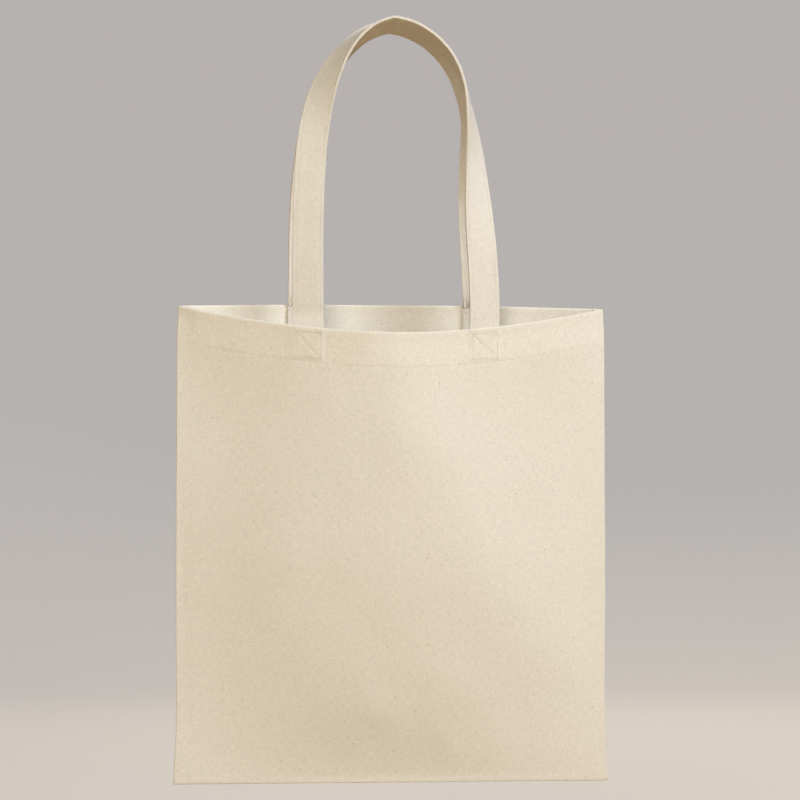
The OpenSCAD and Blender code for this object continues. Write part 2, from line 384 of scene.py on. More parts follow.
def bumpNormal(tree, height, strength, depth):
    return addNode(tree, "ShaderNodeBump", {"Strength": strength, "Distance": depth,
                                            "Height": height}).outputs[0]


canvasLook = {
    "color": (223, 215, 198),
    "yarn": 0.00072,            # distance between two yarns
    "waver": 2.4, "waverScale": 45,
    "yarnTone": 0.15,           # how much the yarns differ
    "yarnRun": 190,             # changes of tone in a metre of yarn
    "warpSeed": 2.0, "weftSeed": 7.0,
    "slubs": 540,               # thick places in a metre of yarn
    "slubTone": 0.38,
    # painted shade in the weave, darker where a yarn dips under its neighbour
    "mottle": 0.05, "mottleScale": 14,
    "weaveShade": 0.10,
    "fleckColor": (150, 118, 78),
    "flecksPerMetre": 112,
    "fleckSize": 0.074,
    "fleckShare": 0.38,
    "fleckDepth": 0.34, "fleckLeast": 0.14,
    "fleckWobble": 0.0009, "wobbleScale": 900,
    "bump": 0.35,
    "bumpDepth": 0.00022,
    "grain": 0.35, "grainScale": 2600,
    "hemRow": bag["hem"],
    "hemPitch": 0.0031,
    "hemBorder": 0.003, "hemSoft": 0.005,
    "doubled": 0.022,           # how much lighter two layers are than one
    "inside": 0.100,            # painted light: how much lighter still the inside of the hem is, where it shows in the mouth
    "pinch": 0.9, "pinchReach": 0.0011,
    "wrinkle": 9.0, "wrinkleReach": 0.0065,
    "roughness": 0.86,
    "specular": 0.25,
    "sheen": 0.12, "sheenRoughness": 0.5,
}
handleLook = dict(canvasLook, color=(220, 212, 196), fleckShare=0.14, hemRow=0)


def hemPuckers(tree, cloth, split, look):
    # the cloth rises between two stitches of the hem, and wrinkles a little beside them
    calc, offset = sums(tree)
    away = calc("SUBTRACT", calc("ABSOLUTE", split.outputs[1]), look["hemRow"])
    turn = calc("MULTIPLY", split.outputs[0], 2 * math.pi / look["hemPitch"])
    wrinkles = offset(noiseNode(tree, cloth, 240, 2, 0.5, (1, 0.22, 1)))
    parts = []
    for wave, word in ((calc("COSINE", turn), "pinch"), (wrinkles, "wrinkle")):
        near = calc("POWER", calc("DIVIDE", away, look[word + "Reach"]), 2)
        fade = calc("EXPONENT", calc("MULTIPLY", near, -1))
        parts.append(calc("MULTIPLY", calc("MULTIPLY", wave, fade), look[word]))
    return calc("ADD", *parts)


def hemTone(tree, split, look):
    # the doubled cloth of the hem lets less light through, so it is a little lighter; the inside
    # of the hem gets painted light to be lighter still
    calc, _ = sums(tree)
    down = calc("ABSOLUTE", split.outputs[1])
    above = calc("DIVIDE", calc("SUBTRACT", look["hemRow"] + look["hemBorder"], down),
                 look["hemSoft"])
    share = calc("MINIMUM", calc("MAXIMUM", above, 0), 1)
    turned = calc("GREATER_THAN", split.outputs[1], 0)
    outside = calc("MULTIPLY_ADD", share, look["doubled"], 1)
    return calc("MULTIPLY_ADD", turned, look["inside"], outside)


def yarnTone(tree, index, run, seed, look):
    # each yarn has its own tone, and thick and thin stretches along it
    calc, offset = sums(tree)
    place = addNode(tree, "ShaderNodeCombineXYZ", {
        0: calc("MULTIPLY", index, 0.73), 1: calc("MULTIPLY", run, look["yarnRun"]), 2: seed})
    tone = addNode(tree, "ShaderNodeTexNoise", {"Scale": 1.0, "Detail": 1.5,
                                                "Vector": place.outputs[0]})
    return offset(tone.outputs["Fac"])


def seedFlecks(tree, cloth, look):
    # how strongly a place is coloured by a seed fleck
    calc, _ = sums(tree)
    wobble = addNode(tree, "ShaderNodeTexNoise", {"Scale": look["wobbleScale"],
                                                  "Vector": cloth})
    bent = addNode(tree, "ShaderNodeVectorMath", {
        0: wobble.outputs["Color"], 1: (look["fleckWobble"], look["fleckWobble"], 0),
        2: cloth}, operation="MULTIPLY_ADD")
    cells = addNode(tree, "ShaderNodeTexVoronoi", {
        "Scale": look["flecksPerMetre"], "Vector": bent.outputs[0]},
        voronoi_dimensions="2D").outputs
    chance = addNode(tree, "ShaderNodeSeparateColor", {0: cells["Color"]}).outputs
    size = calc("MULTIPLY", calc("MULTIPLY_ADD", chance[1], 0.8, 0.3), look["fleckSize"])
    fleck = calc("MULTIPLY", calc("LESS_THAN", cells["Distance"], size),
                 calc("LESS_THAN", chance[0], look["fleckShare"]))
    strong = calc("MULTIPLY_ADD", calc("POWER", chance[2], 3), look["fleckDepth"],
                  look["fleckLeast"])
    return calc("MULTIPLY", fleck, strong)


def clothMaterial(name, look):
    material, tree, shader = newMaterial(name)
    calc, offset = sums(tree)
    cloth = addNode(tree, "ShaderNodeUVMap", uv_map="cloth").outputs[0]
    split = addNode(tree, "ShaderNodeSeparateXYZ", {0: cloth})

    # yarns that waver a little, over and under each other
    shift = calc("MULTIPLY", offset(noiseNode(tree, cloth, look["waverScale"], 3)),
                 look["waver"])
    warp, weft = [calc("ADD", calc("DIVIDE", run, look["yarn"]), shift)
                  for run in split.outputs[:2]]
    warpRound, weftRound = [calc("ABSOLUTE", calc("SINE", calc("MULTIPLY", yarn, math.pi)))
                            for yarn in (warp, weft)]
    warpIndex, weftIndex = calc("FLOOR", warp), calc("FLOOR", weft)
    over = calc("PINGPONG", calc("ADD", warpIndex, weftIndex), 1)
    warpHigh, weftHigh = [calc("MULTIPLY", own, calc("MULTIPLY_ADD", other, 0.45, 0.55))
                          for own, other in ((warpRound, weftRound), (weftRound, warpRound))]
    weave = calc("MULTIPLY_ADD", over, calc("SUBTRACT", warpHigh, weftHigh), weftHigh)

    yarns = calc("ADD", yarnTone(tree, warpIndex, split.outputs[1], look["warpSeed"], look),
                 yarnTone(tree, weftIndex, split.outputs[0], look["weftSeed"], look))
    slubs = [noiseNode(tree, cloth, look["slubs"], 3, 0.55, stretch)
             for stretch in ((0.35, 1, 1), (1, 0.35, 1))]
    slub = calc("MULTIPLY", calc("ADD", *slubs), 0.5)
    mottle = noiseNode(tree, cloth, look["mottleScale"], 4, 0.6)
    tone = calc("MULTIPLY_ADD", yarns, look["yarnTone"], 1.0)
    # the weave's part is painted shade: darker where a yarn dips under its neighbour
    for part, amount in ((slub, "slubTone"), (mottle, "mottle"), (weave, "weaveShade")):
        tone = calc("MULTIPLY_ADD", offset(part), look[amount], tone)
    if look["hemRow"]:
        tone = calc("MULTIPLY", tone, hemTone(tree, split, look))
    color = mixColor(tree, seedFlecks(tree, cloth, look), toned(tree, look["color"], tone),
                     linear(look["fleckColor"]))

    grain = noiseNode(tree, cloth, look["grainScale"], 2)
    height = calc("MULTIPLY_ADD", offset(slub), 0.8, weave)
    height = calc("MULTIPLY_ADD", grain, look["grain"], height)
    if look["hemRow"]:
        height = calc("ADD", height, hemPuckers(tree, cloth, split, look))
    giveInputs(tree, shader, {
        "Base Color": color,
        "Normal": bumpNormal(tree, height, look["bump"], look["bumpDepth"]),
        "Roughness": calc("MULTIPLY_ADD", weave, -0.10, look["roughness"] + 0.05),
        "Specular IOR Level": look["specular"],
        "Sheen Weight": look["sheen"], "Sheen Roughness": look["sheenRoughness"]})
    return material


threadLook = {"color": (230, 222, 205), "twist": 0.00045, "bump": 0.5, "bumpDepth": 0.00008,
              "fuzz": 0.12, "fuzzScale": 1800, "roughness": 0.7, "specular": 0.35,
              "diveShade": 0.50}     # painted shade: how dark a stitch is where it goes into the cloth
overlockLook = dict(threadLook, color=(230, 224, 211), roughness=0.78, diveShade=0)


def threadMaterial(name, look):
    material, tree, shader = newMaterial(name)
    calc, offset = sums(tree)
    place = addNode(tree, "ShaderNodeTexCoord").outputs["Object"]
    ply = addNode(tree, "ShaderNodeTexWave", {"Scale": 0.31 / look["twist"], "Distortion": 1.5,
                                              "Vector": place},
                  bands_direction="DIAGONAL").outputs["Fac"]
    fuzz = noiseNode(tree, place, look["fuzzScale"], 3)
    tone = calc("MULTIPLY_ADD", ply, 0.10, 0.90)
    tone = calc("MULTIPLY_ADD", offset(fuzz), look["fuzz"], tone)
    # painted shade on the two ends of each stitch, where it goes into the cloth
    if look["diveShade"]:
        end = addNode(tree, "ShaderNodeAttribute", attribute_name="diveShade").outputs["Fac"]
        tone = calc("MULTIPLY", tone, calc("MULTIPLY_ADD", end, -look["diveShade"], 1))
    giveInputs(tree, shader, {
        "Base Color": toned(tree, look["color"], tone),
        "Normal": bumpNormal(tree, ply, look["bump"], look["bumpDepth"]),
        "Roughness": calc("MULTIPLY_ADD", fuzz, 0.15, look["roughness"] - 0.07),
        "Specular IOR Level": look["specular"]})
    return material


canvas = clothMaterial("canvas", canvasLook)
handleCanvas = clothMaterial("handle_canvas", handleLook)
sewingThread = threadMaterial("sewing_thread", threadLook)
overlockThread = threadMaterial("overlock_thread", overlockLook)
print("materials made")


# walls: each one sheet of canvas, with its hem and seam allowances turned in

sheetCut = {
    "cell": 0.0031,             # size of a cell of the sheet's mesh
    "fineCell": 0.0009,         # where the straps are sewn
    "down": 112,                # cells from the hem to the bottom
    "foldRadius": 0.00045,      # of the turned edges at the seams
    "foldAir": 0.00002,         # between the two walls' allowances
    "rimRadius": 0.0010,        # of the roll over the mouth
    "rimReach": 0.010,          # how far down the roll eases out
    "level": 0.04,              # drop to which the rows follow the rim
    "turnSteps": 5,
    "allowanceSteps": 3,
}


def layerOut(layer, drop, fade):
    # the wall and its hem part in a soft roll at the rim; gives the middle of a layer's cloth
    close = (bag["cloth"] + bag["gap"]) / 2
    radius = sheetCut["rimRadius"]
    wide = radius - (radius - close) * ramp(drop, radius, sheetCut["rimReach"])
    if drop < radius:
        wide = math.sqrt(max(0.0, radius ** 2 - (radius - drop) ** 2))
    wide = close + (wide - close) * fade
    return bag["cloth"] / 2 - close + layer * wide


def wallRows():
    # (layer, drop from the rim) of each row, from the hem's raw edge over the rim and down;
    # the rows are close at the hem's stitches and at the rim
    inside = [bag["hem"] + 0.0015 - k * 0.0005 for k in range(8)]
    inside += [0.0265, 0.0235, 0.020, 0.016, 0.012, 0.008, 0.0055, 0.0038, 0.0025, 0.0017]
    steps = sheetCut["turnSteps"]
    turn = [sheetCut["rimRadius"] * (1 - math.sin(math.pi / 2 * k / steps))
            for k in range(steps + 1)]
    outside = turn[::-1][1:] + [0.0016, 0.0023]
    outside += [0.0031 + k * sheetCut["fineCell"] for k in range(28)]
    outside += [0.0281 + k * 0.0006 for k in range(10)] + [0.0345, 0.0362]
    start = outside[-1]
    outside += [start + (bag["height"] - start) * (k + 1) / sheetCut["down"]
                for k in range(sheetCut["down"])]
    return [(-1, d) for d in inside + turn] + [(1, d) for d in outside]


def wallColumns(side):
    # cloth coordinates from seam to seam, closer together where the straps are sewn
    half = bag["halfWidth"] - bag["hemInset"]
    inner, x = [], -half
    while x < half - 0.001:
        inner.append(x)
        fine = abs(abs(x) - legFoot(side, x)) < strap["width"] / 2 + 0.002
        x += sheetCut["fineCell"] if fine else sheetCut["cell"]
    inner.append(half)
    edge = [bag["halfWidth"] - e for e in (0.0018, 0.0010)]
    return [-e for e in edge[::-1]] + inner + edge


def turnedEdge():
    # a seam's turned edge, then its allowance: how far inwards from the seam each step is,
    # how far from the middle plane, and the length of cloth to it
    radius = sheetCut["foldRadius"]
    lie = bag["cloth"] / 2 + sheetCut["foldAir"]        # middle of the allowance's cloth
    middle = lie + radius                               # middle of the turned edge
    turns = [math.pi * k / sheetCut["turnSteps"] for k in range(sheetCut["turnSteps"] + 1)]
    flat = [bag["seam"] * k / sheetCut["allowanceSteps"]
            for k in range(1, sheetCut["allowanceSteps"] + 1)]
    turned = [(radius + bag["cloth"] / 2 - radius * math.sin(a),
               middle + radius * math.cos(a), radius * a) for a in turns]
    return turned + [(radius + bag["cloth"] / 2 + d, lie, radius * math.pi + d) for d in flat]


def makeWall(side):
    wall = walls[side]
    sign = wall["sign"]
    half, level = bag["halfWidth"], sheetCut["level"]
    turned = turnedEdge()
    rows, columns = wallRows(), wallColumns(side)
    points, cloth, index = [], [], {}

    def add(key, point, place):
        index[key] = len(points)
        points.append(point)
        cloth.append(place)

    for i, (layer, drop) in enumerate(rows):
        for j, c in enumerate(columns):
            u = c / half
            if drop < level:
                v = dropToV(wall, u, drop)
            else:
                v = dropToV(wall, u, level) * (bag["height"] - drop) / (bag["height"] - level)
            if layer < 0 and abs(c) > half - bag["hemInset"] + 1e-6:
                continue            # the hem stops short of the seams
            fade = ramp(half - abs(c), bag["hemInset"] * 0.55, bag["hemInset"])
            point = wallPoint(side, u, max(0.0, v), layerOut(layer, drop, fade))
            # near the bottom and the seams the cloth comes down onto the turned edge
            point.x = math.copysign(min(abs(point.x), halfWidth(v) - turned[0][0]), point.x)
            point.z = max(point.z, bag["bottomZ"] + turned[0][0])
            add((i, j), point, (c, -layer * drop))

    first = next(i for i, row in enumerate(rows) if row[0] > 0)
    for hand, j0 in ((-1, 0), (1, len(columns) - 1)):
        for i in range(first, len(rows)):
            base = points[index[(i, j0)]]
            for k, (inwards, away, length) in enumerate(turned[1:]):
                v = (base.z - bag["bottomZ"]) / bag["height"]
                x = hand * (halfWidth(v) - inwards)
                add((i, j0 + hand * (k + 1)), Vector((x, sign * away, base.z)),
                    (hand * (half + length), -rows[i][1]))
    last = len(rows) - 1
    for j, c in enumerate(columns):
        base = points[index[(last, j)]]
        for k, (inwards, away, length) in enumerate(turned[1:]):
            add((last + k + 1, j), Vector((base.x, sign * away, bag["bottomZ"] + inwards)),
                (c, -(bag["height"] + length)))

    faces = []
    for (i, j) in list(index):
        corners = [(i, j), (i + 1, j), (i + 1, j + 1), (i, j + 1)]
        if all(corner in index for corner in corners):
            ids = [index[corner] for corner in corners]
            faces.append(ids if sign < 0 else ids[::-1])
    corners = [cloth[number] for ids in faces for number in ids]
    piece = newPiece(side + "_wall_sheet", points, faces, canvas, corners)
    thick = piece.modifiers.new("thickness", "SOLIDIFY")
    thick.thickness = bag["cloth"]
    thick.offset = 0
    thick.use_even_offset = False
    return plainCopy(piece, side + "_wall_cloth")


wallCloth = {side: makeWall(side) for side in walls}


# handles: each one strap of four layers, from sewn end to sewn end

hinges = {j["child"]: Vector(j["pos_m"]) for j in frame["joints"]}


def legTurn(side):
    wall = walls[side]
    top = halfWidth(1)
    inner, outer = [(hang[side]["right"]["foot"] + d * strap["width"] / 2) / top
                    for d in (-1, 1)]
    return math.atan((innerFace(wall, inner, 1) - innerFace(wall, outer, 1)) / strap["width"])


def archLine(side):
    # (x, height) of the middle line from the left rim to the right one
    base = hinges[side + "_handle"].z
    start = bag["mouthZ"] + strap["straight"]
    count = strap["stations"] // 2

    def legLine(leg):
        line = [(leg["foot"], start + (base - start) * (1 - k / 10)) for k in range(10)]
        for i in range(count + 1):
            phi = math.pi / 2 * (i / count) ** strap["crowding"]
            share = max(0.0, math.cos(phi))
            climb = math.sin(phi) ** (2 / leg["square"])
            # the very top hangs in a small peak, and the leg bows inwards below it
            peak = (max(0.0, 1 - share * strap["halfSpacing"] / strap["peakWidth"])
                    ** strap["soften"])
            bow = max(0.0, math.sin(math.pi * climb)) ** strap["soften"]
            x = leg["foot"] * share - leg["bow"] * bow
            line.append((x, start + hang[side]["rise"] * climb + strap["peak"] * peak))
        return line

    left, right = legLine(hang[side]["left"]), legLine(hang[side]["right"])
    return [(-x, z) for x, z in left] + right[-2::-1]


def strapStations(side):
    # place, direction across, direction out of the outer face, and length so far
    sign = walls[side]["sign"]
    line = archLine(side)
    depths = [strap["sewn"] * (1 - k / strap["sewnSteps"]) for k in range(strap["sewnSteps"])]
    base = hinges[side + "_handle"].z
    line = [(line[0][0], base - d) for d in depths] + line
    line += [(line[-1][0], base - d) for d in depths[::-1]]
    run = [0.0]
    for a, b in zip(line, line[1:]):
        run.append(run[-1] + math.dist(a, b))
    total = run[-1]
    startTurn = legTurn(side)
    free = total / 2 - strap["sewn"]
    legMiddle = (innerFace(walls[side], hang[side]["right"]["foot"] / halfWidth(1), 1)
                 - bag["cloth"] - 2 * bag["gap"] - strap["thick"] / 2)
    stations = []
    for i, (x, z) in enumerate(line):
        a, b = line[max(i - 1, 0)], line[min(i + 1, len(line) - 1)]
        long = math.dist(a, b)
        t = ((b[0] - a[0]) / long, (b[1] - a[1]) / long)
        shares = ((run[i] - strap["sewn"]) / free, (total - run[i] - strap["sewn"]) / free)
        twist = min(ramp(shares[0], *hang[side]["left"]["turn"]),
                    ramp(shares[1], *hang[side]["right"]["turn"]), hang[side]["flat"])
        angle = startTurn + (math.pi / 2 - startTurn) * twist
        outward = Vector((-t[1], 0, t[0]))
        front = Vector((0, sign, 0))
        across = -math.cos(angle) * outward + math.sin(angle) * front
        out = math.sin(angle) * outward + math.cos(angle) * front
        height = (z - bag["mouthZ"] - strap["straight"]) / hang[side]["rise"]
        y = legMiddle + ((hang[side]["top"] - legMiddle)
                         * ramp(height, strap["closeFrom"], strap["closeAt"]))
        stations.append((Vector((x, sign * y, z)), across, out, run[i]))
    return stations


def strapPlace(side, station, a, n):
    # a place across the strap and out of it; the sewn ends lie on the wall's inside
    place, across, out, _ = station
    free = place + a * across + n * out
    rim = hinges[side + "_handle"].z
    loose = ramp(place.z, rim - 0.002, rim + 0.012)
    if loose >= 1:
        return free
    x = place.x + a * math.copysign(1, across.x) * math.cos(legTurn(side))
    u = x / halfWidth(1)
    v = heightShare(walls[side], u, min(place.z, rimZ(walls[side], u)))
    depth = -bag["cloth"] - 2 * bag["gap"] - strap["thick"] / 2
    onWall = wallPoint(side, u, v, depth + n, False)
    onWall.x, onWall.z = x, place.z
    return onWall.lerp(free, loose)


def strapProfile():
    # the section as (across, out), with shallow grooves along the stitch rows
    w, t = strap["width"] / 2, strap["thick"] / 2
    row, inset, corner = w - strap["edgeInset"], strap["inset"], strap["corner"]
    count = 22
    places = [-w + inset + (2 * w - 2 * inset) * k / count for k in range(1, count)]
    places += [-w + inset, w - inset]
    places += [s * (row + d) for s in (-1, 1) for d in (-0.0006, 0, 0.0006)]

    def face(a):
        press = sum(bell(a - s * row, strap["grooveWidth"]) for s in (-1, 1))
        return t - strap["groove"] * press + strap["puff"] * math.cos(math.pi / 2 * a / w)

    top = [(a, face(a)) for a in sorted(places)]
    edge = [(w - corner + corner * math.sin(b), t - corner + corner * math.cos(b))
            for b in (0.4, 0.8, 1.2)]
    right = edge + [(w - strap["crease"], 0.0)] + [(a, -n) for a, n in edge[::-1]]
    under = [(a, -n) for a, n in top[::-1]]
    return top + right + under + [(-a, -n) for a, n in right]


def strapWave(side, s, a):
    # slow waviness along the strap, as a shift sideways and one outwards
    seed = seeds[side]["strap"]
    long, wide = strap["waveSize"]
    fine = strap["rippleSize"]
    wave = strap["wave"] * noise.noise(Vector((s / long, a / wide, seed)))
    wave += (strap["ripple"] * noise.noise(Vector((s / fine, a / fine, seed + 4)))
             * abs(a) / (strap["width"] / 2))
    sway = strap["sway"] * noise.noise(Vector((s / strap["swaySize"], seed, a * 20)))
    return sway, wave


def makeStrap(side):
    stations, profile = strapStations(side), strapProfile()
    count = len(profile)
    around = [0.0]
    for p, q in zip(profile, profile[1:] + profile[:1]):
        around.append(around[-1] + math.dist(p, q))
    points = []
    for station in stations:
        for a, n in profile:
            sway, wave = strapWave(side, station[3], a)
            points.append(strapPlace(side, station, a + sway, n + wave))
    faces, loops = [], []
    for i in range(len(stations) - 1):
        low, high = stations[i][3], stations[i + 1][3]
        for k in range(count):
            m = (k + 1) % count
            faces.append([i * count + k, i * count + m, (i + 1) * count + m,
                          (i + 1) * count + k])
            loops.append([(around[k], low), (around[k + 1], low), (around[k + 1], high),
                          (around[k], high)])
    last = (len(stations) - 1) * count
    for cap, aside in ((list(range(count))[::-1], 0), ([last + k for k in range(count)], 0.1)):
        faces.append(cap)
        loops.append([(profile[c % count][0], profile[c % count][1] + aside) for c in cap])
    if walls[side]["sign"] > 0:
        faces, loops = [[turn[::-1] for turn in group] for group in (faces, loops)]
    print(side + " strap", len(faces), "faces")
    return newPiece(side + "_handle_cloth", points, faces, handleCanvas,
                    [p for loop in loops for p in loop])


strapCloth = {side: makeStrap(side) for side in walls}


# stitches and overlock: one small thread shape each, repeated along a line

stitching = {
    "pitch": canvasLook["hemPitch"], "length": 0.0023, "thread": 0.00060, "height": 0.00046,
    "strapPitch": 0.0028, "boxPitch": 0.0026, "boxLength": 0.0022,
    "tilt": 0.07,
    "lift": 0.00008,            # of a thread's middle, off the cloth
    "strapLift": 0.00012,
    "hemEnd": 0.004,            # how far from the seam the hem's row stops
}
overlock = {
    "pitch": 0.0021, "thread": 0.00042, "depth": 0.003, "half": 0.00098, "tilt": 0.14,
}


def sizedBy(tree, shape, sizes):
    scale = addNode(tree, "ShaderNodeCombineXYZ", dict(enumerate(sizes))).outputs[0]
    return addNode(tree, "GeometryNodeTransform", {"Geometry": shape,
                                                   "Scale": scale}).outputs[0]


def stitchShape(tree, given):
    # a short thread; its two ends dive into the cloth, and the material paints shade on them by
    # this
    bead = addNode(tree, "GeometryNodeMeshUVSphere", {"Segments": 6, "Rings": 5, "Radius": 0.5})
    laid = addNode(tree, "GeometryNodeTransform", {"Geometry": bead.outputs["Mesh"],
                                                   "Rotation": (0, math.pi / 2, 0)})
    place = addNode(tree, "GeometryNodeInputPosition").outputs[0]
    away = mathNode(tree, "ABSOLUTE",
                    addNode(tree, "ShaderNodeSeparateXYZ", {0: place}).outputs[0])
    end = mathNode(tree, "POWER", mathNode(tree, "MULTIPLY", away, 2), 3)
    diveShade = addNode(tree, "GeometryNodeStoreNamedAttribute", {
        "Name": "diveShade", "Geometry": laid.outputs[0], "Value": end},
        data_type="FLOAT", domain="POINT")
    return sizedBy(tree, diveShade.outputs[0], [given[name] for name in ("Length", "Width", "Height")])


def loopShape(tree, given):
    # an oval loop of thread round the raw edge
    circle = addNode(tree, "GeometryNodeCurvePrimitiveCircle", {"Resolution": 10, "Radius": 1.0})
    halfDepth = mathNode(tree, "MULTIPLY", given["Depth"], 0.5)
    oval = sizedBy(tree, circle.outputs[0], [halfDepth, given["Half Thickness"], 1])
    section = addNode(tree, "GeometryNodeCurvePrimitiveCircle", {
        "Resolution": 4, "Radius": mathNode(tree, "MULTIPLY", given["Thread"], 0.5)})
    return addNode(tree, "GeometryNodeCurveToMesh", {
        "Curve": oval, "Profile Curve": section.outputs[0]}).outputs[0]


def rowTree(name, sizes, shape, along, out):
    # repeats the shape along a line; its axis called along follows the line, the one
    # called out stands off the cloth, and each is turned about that one by a little
    tree = bpy.data.node_groups.new(name, "GeometryNodeTree")
    face = tree.interface
    kinds = [("Line", "Geometry")] + [(size, "Float") for size in sizes]
    for socket, kind in kinds + [("Seed", "Int"), ("Material", "Material")]:
        item = face.new_socket(socket, in_out="INPUT", socket_type="NodeSocket" + kind)
        if socket in sizes:
            item.default_value = sizes[socket]
    face.new_socket("Row", in_out="OUTPUT", socket_type="NodeSocketGeometry")
    given = addNode(tree, "NodeGroupInput").outputs
    curve = addNode(tree, "GeometryNodeMeshToCurve", {0: given["Line"]})
    spaced = addNode(tree, "GeometryNodeResampleCurve", {
        "Curve": curve.outputs[0], "Length": given["Pitch"]}, mode="LENGTH")

    lift = addNode(tree, "GeometryNodeInputNamedAttribute", {"Name": "clothNormal"},
                   data_type="FLOAT_VECTOR")
    tangent = addNode(tree, "GeometryNodeInputTangent").outputs[0]
    follow = addNode(tree, "FunctionNodeAlignRotationToVector", {"Vector": tangent}, axis=along)
    up = addNode(tree, "FunctionNodeAlignRotationToVector", {
        "Rotation": follow.outputs[0], "Vector": lift.outputs[0]}, axis=out, pivot_axis=along)
    chance = addNode(tree, "FunctionNodeRandomValue", {
        2: mathNode(tree, "MULTIPLY", given["Tilt"], -1), 3: given["Tilt"],
        "Seed": given["Seed"]}, data_type="FLOAT")
    tilt = addNode(tree, "FunctionNodeAxisAngleToRotation", {
        "Axis": [axis == out for axis in "XYZ"], "Angle": chance.outputs[1]})
    turned = addNode(tree, "FunctionNodeRotateRotation", {
        "Rotation": up.outputs[0], "Rotate By": tilt.outputs[0]}, rotation_space="LOCAL")

    placed = addNode(tree, "GeometryNodeInstanceOnPoints", {
        "Points": spaced.outputs[0], "Instance": shape(tree, given),
        "Rotation": turned.outputs[0]})
    real = addNode(tree, "GeometryNodeRealizeInstances", {0: placed.outputs[0]})
    rounded = addNode(tree, "GeometryNodeSetShadeSmooth", {0: real.outputs[0]})
    finish = addNode(tree, "GeometryNodeSetMaterial", {0: rounded.outputs[0],
                                                       "Material": given["Material"]})
    addNode(tree, "NodeGroupOutput", {0: finish.outputs[0]})
    return tree


stitchNodes = rowTree("stitch_row", {"Pitch": 0.003, "Length": 0.0026, "Width": 0.0005,
                                     "Height": 0.0004, "Tilt": 0.05}, stitchShape, "X", "Z")
loopNodes = rowTree("overlock_loops", {"Pitch": 0.002, "Thread": 0.0004, "Depth": 0.003,
                                       "Half Thickness": 0.001, "Tilt": 0.1},
                    loopShape, "Z", "Y")


def threadRow(name, nodes, lines, inputs):
    # lines are lists of (place, normal); gives one mesh of all their threads
    edges, start = [], 0
    for line in lines:
        edges += [(start + k, start + k + 1) for k in range(len(line) - 1)]
        start += len(line)
    piece = newPiece(name + "_line", [p for line in lines for p, _ in line], [], edges=edges)
    lift = piece.data.attributes.new("clothNormal", "FLOAT_VECTOR", "POINT")
    lift.data.foreach_set("vector", [c for line in lines for _, n in line for c in n])
    row = piece.modifiers.new("threads", "NODES")
    row.node_group = nodes
    for item in nodes.interface.items_tree:
        if item.name in inputs:
            row[item.identifier] = inputs[item.name]
    return plainCopy(piece, name)


def stitchRows(name, lines, pitch, seed, length=stitching["length"]):
    return threadRow(name, stitchNodes, lines, {
        "Pitch": pitch, "Length": length, "Width": stitching["thread"],
        "Height": stitching["height"], "Tilt": stitching["tilt"], "Seed": seed,
        "Material": sewingThread})


def overlockLoops(name, line, seed):
    return threadRow(name, loopNodes, [[(p, (0.0, -1.0, 0.0)) for p in line]], {
        "Pitch": overlock["pitch"], "Thread": overlock["thread"], "Depth": overlock["depth"],
        "Half Thickness": overlock["half"], "Tilt": overlock["tilt"], "Seed": seed,
        "Material": overlockThread})


def hemLine(side, face):
    # the hem's stitch row, on the wall's outer face (1) or on the hem inside (-1)
    count = 120
    line = []
    for k in range(count + 1):
        u = (-1 + 2 * k / count) * (1 - stitching["hemEnd"] / bag["halfWidth"])
        v = dropToV(walls[side], u, bag["hem"])
        out = bag["cloth"] if face > 0 else -bag["gap"] - bag["cloth"]
        line.append((wallPoint(side, u, v, out + face * stitching["lift"]),
                     face * wallNormal(side, u, v)))
    return line


def boxLines(side, hand, face):
    # a stitched square with a cross, through the wall, the hem and the strap's sewn end
    wall = walls[side]
    top, w = sewnBox["drop"], sewnBox["width"] / 2
    low = top + sewnBox["height"]
    corners = [(-w, top), (w, top), (w, low), (-w, low)]
    runs = [(corners[k], corners[(k + 1) % 4]) for k in range(4)]
    runs += [(corners[0], corners[2]), (corners[1], corners[3])]
    middle = hand * legFoot(side, hand)
    rim = rimZ(wall, middle / halfWidth(1))
    lines = []
    for a, b in runs:
        line = []
        for k in range(9):
            u = (middle + a[0] + (b[0] - a[0]) * k / 8) / halfWidth(1)
            z = rim - (a[1] + (b[1] - a[1]) * k / 8)
            v = heightShare(wall, u, z)
            if face > 0:
                swell = layerOut(1, rimZ(wall, u) - z, 1) + bag["cloth"] / 2
                place = wallPoint(side, u, v, swell + stitching["lift"])
            else:
                place = wallPoint(side, u, v, -bag["cloth"] - 2 * bag["gap"]
                                  - strap["thick"] - stitching["strapLift"], False)
            line.append((place, face * wallNormal(side, u, v)))
        lines.append(line)
    return lines


def strapRow(side, edge, face):
    # a stitch row along a strap, near one edge, on its outer (1) or inner (-1) face
    a = edge * (strap["width"] / 2 - strap["edgeInset"])
    n = face * (strap["thick"] / 2 - strap["groove"])
    return [(strapPlace(side, s, a, n), face * s[2]) for s in strapStations(side)[1:-1]]


stitchPieces = {}
for number, side in enumerate(walls):
    for face, where in ((1, "outside"), (-1, "inside")):
        name = side + "_hem_stitches_" + where
        stitchPieces[name] = stitchRows(name, [hemLine(side, face)], stitching["pitch"],
                                        10 * number + face)
        name = side + "_handle_stitches_" + where
        stitchPieces[name] = stitchRows(name, [strapRow(side, edge, face) for edge in (-1, 1)],
                                        stitching["strapPitch"], 10 * number + 3 + face)
    for hand, word in ((-1, "left"), (1, "right")):
        name = side + "_" + word + "_crossed_stitches"
        lines = boxLines(side, hand, 1) + boxLines(side, hand, -1)
        stitchPieces[name] = stitchRows(name, lines, stitching["boxPitch"],
                                        10 * number + 6 + hand, stitching["boxLength"])


overlockInset = bag["seam"] - overlock["depth"] / 2     # middle of the loops, from the seam


def sideEdge(hand):
    steps = 40
    low = bag["bottomZ"] + bag["seam"]
    heights = [low + (bag["mouthZ"] - 0.001 - low) * k / steps for k in range(steps + 1)]
    return [Vector((hand * (halfWidth((z - bag["bottomZ"]) / bag["height"]) - overlockInset),
                    0, z)) for z in heights]


